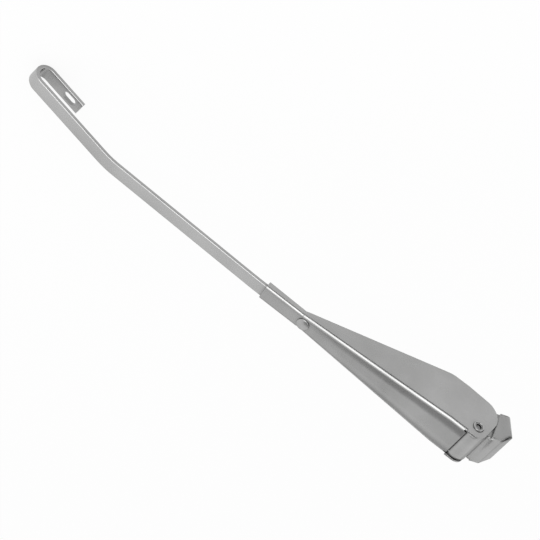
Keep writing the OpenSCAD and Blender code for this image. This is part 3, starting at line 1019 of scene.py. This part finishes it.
@dataclass
class TensionSpring:
    """Close-wound spring between the head's cross pin and the rivet's post; in millimetres.

    Attributes:
        arm: Place of the arm.
        wire_r: Radius of the wire.
        coil_d: Outer diameter of the coil.
        turns: Turns of the coil.
        coil_start: The coil's distance from the cross pin.
        coil_len: Length of the coil.
        bow_r: Radius of the bow past the knuckle.
        anchor: The cross pin's place in the row, as x and z.
        anchor_r: Radius of the cross pin.
        anchor_arc: First angle and sweep round the cross pin, in degrees.
        post: The rivet post's place from the hinge pin, as x and z.
        post_r: Radius of the rivet's post.
        post_arc: First angle and sweep round the post, in degrees.
        play: Room between the wire and what it goes round.
        arc_steps: Steps of each arc of the wire's ends.
        turn_steps: Steps of each turn of the coil.
        sides: Sides of the wire.
        sharp: Angle over which an edge shows, in degrees.
        soft_ends: Distances from the cross pin at which the wire rides on the arm and on the head;
            not used.
    """

    arm: HangingArm
    wire_r: float = 0.65
    coil_d: float = 8.6
    turns: int = 30
    coil_start: float = 24.0
    coil_len: float = 50.0
    bow_r: float = 8.4
    anchor: Pair = (13.5, 4.7)
    anchor_r: float = 1.5
    anchor_arc: Pair = (-10.0, 260.0)
    post: Pair = (101.3, 2.6)
    post_r: float = 1.8
    post_arc: Pair = (-150.0, 300.0)
    play: float = 0.05
    arc_steps: int = 24
    turn_steps: int = 20
    sides: int = 8
    sharp: float = 60.0
    soft_ends: Pair = (22.0, 2.0)

    def arc(self, start: float, sweep: float, count: int) -> list[Pair]:
        """Returns the cosine and sine of evenly spaced angles.

        Args:
            start: The first angle in degrees.
            sweep: The whole arc in degrees.
            count: How many points are made; arc_steps + 1 reach the arc's end.

        Returns:
            One pair for each angle.
        """
        angles = [math.radians(sweep * i / self.arc_steps + start) for i in range(count)]
        return [(math.cos(angle), math.sin(angle)) for angle in angles]

    def anchor_point(self) -> Vector:
        """Returns the cross pin's place in the row frame, in metres."""
        return Vector((self.anchor[0], 0.0, self.anchor[1])) * MM

    def path(self) -> list[Vector]:
        """Returns the wire's middle line, drawn from the hinge pin."""
        count, y_axis = self.arc_steps, Vector((0.0, 1.0, 0.0))
        near = self.arm.matrix().inverted() @ self.anchor_point() / MM
        far = Vector((self.post[0], 0.0, self.post[1]))
        pull = (far - near).normalized()
        lift = y_axis.cross(-pull)
        loop_r = self.anchor_r + self.wire_r + self.play
        points = []
        for c, s in self.arc(*self.anchor_arc, count):
            points.append(near + loop_r * (c * pull + s * lift))
        middle = near + (self.bow_r - loop_r) * pull
        for c, s in self.arc(180.0, 180.0, count + 1):
            points.append(middle + self.bow_r * (c * pull + s * lift))
        coil_r, coil_count = self.coil_d / 2 - self.wire_r, self.turns * self.turn_steps
        for i in range(coil_count + 1):
            angle = 2 * math.pi * i / self.turn_steps
            along = near + pull * (self.coil_start + self.coil_len * i / coil_count)
            points.append(along + coil_r * (math.cos(angle) * lift + math.sin(angle) * y_axis))
        around = self.post_r + self.wire_r + self.play
        for c, s in self.arc(*self.post_arc, count + 1):
            points.append(far + around * Vector((c, s, 0.0)))
        return points

    def rings(self, points: list[Vector]) -> list[list[Vector]]:
        """Lays a ring of points round each point of the wire's middle line.

        Args:
            points: The middle line, drawn from the hinge pin.

        Returns:
            The rings in the row frame, in metres.
        """
        place, rings = self.arm.matrix(), []
        side = Vector((0.0, 1.0, 0.3))
        angles = [2 * math.pi * k / self.sides for k in range(self.sides)]
        for i, point in enumerate(points):
            run = (points[min(i + 1, len(points) - 1)] - points[max(i - 1, 0)]).normalized()
            side = (side - run * side.dot(run)).normalized()
            other = run.cross(side)
            spokes = [math.cos(angle) * side + math.sin(angle) * other for angle in angles]
            rings.append([place @ ((point + self.wire_r * spoke) * MM) for spoke in spokes])
        return rings

    def build(self, finish: bpy.types.Material) -> None:
        """Builds the spring, fixed in the row frame at its rest shape.

        Args:
            finish: The wire's material.
        """
        points = self.path()
        piece = add_tube(self.rings(points), "wound_spring")
        soften(piece.data, self.sharp)
        finish_piece(piece, finish, "tension_spring")
        post_side = self.arm.matrix() @ (points[-1 - self.arc_steps // 2] * MM)
        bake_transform(piece)


@dataclass(frozen=True)
class Panel:
    """A lamp or a card that faces the arm.

    Attributes:
        name: Its name.
        toward: Direction from the arm to it.
        away: Its distance in metres.
        size: Its length along the arm and its width, in metres.
        strength: A lamp's power in watts or a card's brightness.
    """

    name: str
    toward: Triple
    away: float
    size: Pair
    strength: float


RIDGE_LAMP = Panel("ridge_lamp", (0.33, -0.75, 0.58), 1.2, (0.9, 0.8), 4.5)
CARDS = (
    Panel("overhead_card", (0.06, 0.21, 0.71), 0.74, (0.56, 0.5), 0.4),
    Panel("front_card", (0.0, -1.0, 0.12), 0.9, (1.6, 0.36), 0.15),
    Panel("rear_card", (0.3, 0.95, 0.16), 0.9, (1.6, 0.42), 0.6),
    Panel("heel_card", (-0.82, 0.565, -0.095), 0.42, (0.5, 0.3), 0.68),
    Panel("end_card", (-1.0, -0.2, 0.12), 0.5, (0.5, 0.3), 0.06),
)


@dataclass
class Studio:
    """Camera, lamp, cards and the pale floor; places in metres in the row frame.

    Attributes:
        eye: The camera's place.
        right: Direction to the picture's right.
        up: Direction to the picture's top.
        lens: Focal length in millimetres.
        sensor: Width of the sensor in millimetres.
        clip: Nearest and farthest distance that the camera sees.
        middle: The place that lamp and cards face.
        along: Direction along the hanging arm.
        floor_x: The floor's middle along X.
        floor_size: The floor's length and width.
        floor_drop: How far the floor lies below the arm.
        floor_white: How much of the floor shows as plain white.
        sky: The world's strength as light, and where it is seen.
    """

    eye: Triple = (0.34099, -0.48442, 0.41592)
    right: Triple = (-0.9019, -0.4309, -0.0291)
    up: Triple = (0.3061, -0.5902, -0.7469)
    lens: float = 91.709
    sensor: float = 36.0
    clip: Pair = (0.01, 20.0)
    middle: Triple = (0.10, 0.0, -0.04)
    along: Triple = (0.891, 0.0, -0.454)
    floor_x: float = 0.1
    floor_size: Pair = (8.0, 8.0)
    floor_drop: float = 0.002
    floor_white: float = 0.9
    sky: Pair = (0.85, 1.0)

    def camera(self) -> None:
        """Sets the camera at the photograph's viewpoint."""
        data = bpy.data.cameras.new("viewpoint")
        data.lens = self.lens
        data.sensor_width = self.sensor
        data.sensor_fit = "HORIZONTAL"
        data.clip_start, data.clip_end = self.clip
        made = bpy.data.objects.new("viewpoint", data)
        bpy.context.scene.collection.objects.link(made)
        right, up = Vector(self.right).normalized(), Vector(self.up)
        back = right.cross(up).normalized()
        up = back.cross(right)
        turned = Matrix((right, up, back)).transposed().to_4x4()
        made.matrix_world = Matrix.Translation(self.eye) @ turned
        bpy.context.scene.camera = made

    def facing(self, panel: Panel) -> Matrix:
        """Turns a panel to the arm.

        Args:
            panel: The lamp or card.

        Returns:
            Its frame, whose -Z faces the arm and whose X runs along it.
        """
        back, along = Vector(panel.toward).normalized(), Vector(self.along)
        along = (along - back * along.dot(back)).normalized()
        turned = Matrix((along, back.cross(along), back)).transposed().to_4x4()
        return Matrix.Translation(Vector(self.middle) + back * panel.away) @ turned

    def lamp(self, panel: Panel) -> None:
        """Adds a soft rectangular lamp.

        Args:
            panel: The lamp.
        """
        data = bpy.data.lights.new(panel.name, "AREA")
        data.shape = "RECTANGLE"
        data.size, data.size_y = panel.size
        data.energy = panel.strength
        made = bpy.data.objects.new(panel.name, data)
        bpy.context.scene.collection.objects.link(made)
        made.matrix_world = self.facing(panel)
        made.visible_camera = False

    def plane(self, name: str, frame: Matrix, size: Pair) -> bpy.types.Object:
        """Adds a flat sheet.

        Args:
            name: Its name.
            frame: Its place.
            size: Its length and width in metres.

        Returns:
            The new object.
        """
        x, y = size[0] / 2, size[1] / 2
        spots = ((-x, -y, 0.0), (x, -y, 0.0), (x, y, 0.0), (-x, y, 0.0))
        work = bmesh.new()
        work.faces.new([work.verts.new(frame @ Vector(spot)) for spot in spots])
        made = add_object(work, name)
        made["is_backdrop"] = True
        return made

    def card(self, panel: Panel) -> None:
        """Adds a card that only shows in reflections.

        Args:
            panel: The card.
        """
        made = self.plane(panel.name, self.facing(panel), panel.size)
        material = bpy.data.materials.new(panel.name)
        material.use_nodes = True
        tree = material.node_tree
        tree.nodes.remove(tree.nodes["Principled BSDF"])
        glow = add_node(tree, "ShaderNodeEmission")
        set_inputs(glow, {"Color": (panel.strength, panel.strength, panel.strength, 1.0)})
        tree.links.new(glow.outputs["Emission"], tree.nodes["Material Output"].inputs["Surface"])
        made.data.materials.append(material)
        made.visible_camera = False
        made.visible_diffuse = False
        made.visible_shadow = False

    def seen(self, tree: bpy.types.NodeTree) -> bpy.types.NodeSocket:
        """Masks the rays that show a background: camera, glossy and transmission rays.

        Args:
            tree: The tree that gets the nodes.

        Returns:
            The socket with the mask.
        """
        path = add_node(tree, "ShaderNodeLightPath")
        both = maths(tree, "MAXIMUM", path.outputs["Is Camera Ray"], path.outputs["Is Glossy Ray"])
        return maths(tree, "MAXIMUM", both, path.outputs["Is Transmission Ray"])

    def floor(self, lowest: float) -> None:
        """Adds the pale floor, which shows white and keeps a faint shadow.

        Args:
            lowest: Height of the arm's lowest point.
        """
        frame = Matrix.Translation((self.floor_x, 0.0, lowest - self.floor_drop))
        made = self.plane("pale_floor", frame, self.floor_size)
        material = bpy.data.materials.new("pale_floor")
        material.use_nodes = True
        tree = material.node_tree
        shader = tree.nodes["Principled BSDF"]
        pale = (0.9, 0.9, 0.9, 1.0)
        set_inputs(shader, {"Base Color": pale, "Roughness": 0.9, "Specular IOR Level": 0.1})
        glow = add_node(tree, "ShaderNodeEmission")
        blend = add_node(tree, "ShaderNodeMixShader")
        white = maths(tree, "MULTIPLY", self.seen(tree), self.floor_white)
        tree.links.new(white, blend.inputs["Fac"])
        tree.links.new(shader.outputs["BSDF"], blend.inputs[1])
        tree.links.new(glow.outputs["Emission"], blend.inputs[2])
        tree.links.new(blend.outputs["Shader"], tree.nodes["Material Output"].inputs["Surface"])
        made.data.materials.append(material)

    def world(self) -> None:
        """Sets a soft even world that shows white behind the arm and in its reflections."""
        scene = bpy.context.scene
        scene.world = bpy.data.worlds.new("even_light")
        scene.world.use_nodes = True
        tree = scene.world.node_tree
        back = tree.nodes["Background"]
        set_inputs(back, {"Color": (1.0, 1.0, 1.0, 1.0)})
        strength = map_range(tree, self.seen(tree), UNIT, self.sky)
        tree.links.new(strength, back.inputs["Strength"])
        scene.view_settings.view_transform = "Standard"

    def build(self, lowest: float) -> None:
        """Builds the studio.

        Args:
            lowest: Height of the arm's lowest point.
        """
        self.camera()
        self.world()
        self.floor(lowest)
        self.lamp(RIDGE_LAMP)
        for panel in CARDS:
            self.card(panel)
        log.info("studio: camera, world, floor, lamp and cards")


def corners() -> list[list[float]]:
    """Returns the lowest and highest corner of all that shows, as plain lists."""
    return [[float(v) for v in corner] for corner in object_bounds()]


def main() -> None:
    """Loads the frame and builds every piece in order."""
    logging.basicConfig(level=logging.INFO, format="%(name)s: %(message)s")
    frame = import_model()
    solid_box = corners()
    arm = HangingArm()
    effects = SurfaceEffects(arm)
    effects.build()
    finishes = {f.name: f.build(effects) for f in (SHEET, CAP, STRIP, PIN, DULL, ZINC, WIRE)}
    PressedParts(frame["nodes"], finishes).build()
    TurnedPins(arm).build(finishes[PIN.name])
    BladeStrip(arm).build(finishes[STRIP.name])
    TensionSpring(arm).build(finishes[WIRE.name])
    Studio().build(solid_box[0][2])


if __name__ == "__main__":
    main()
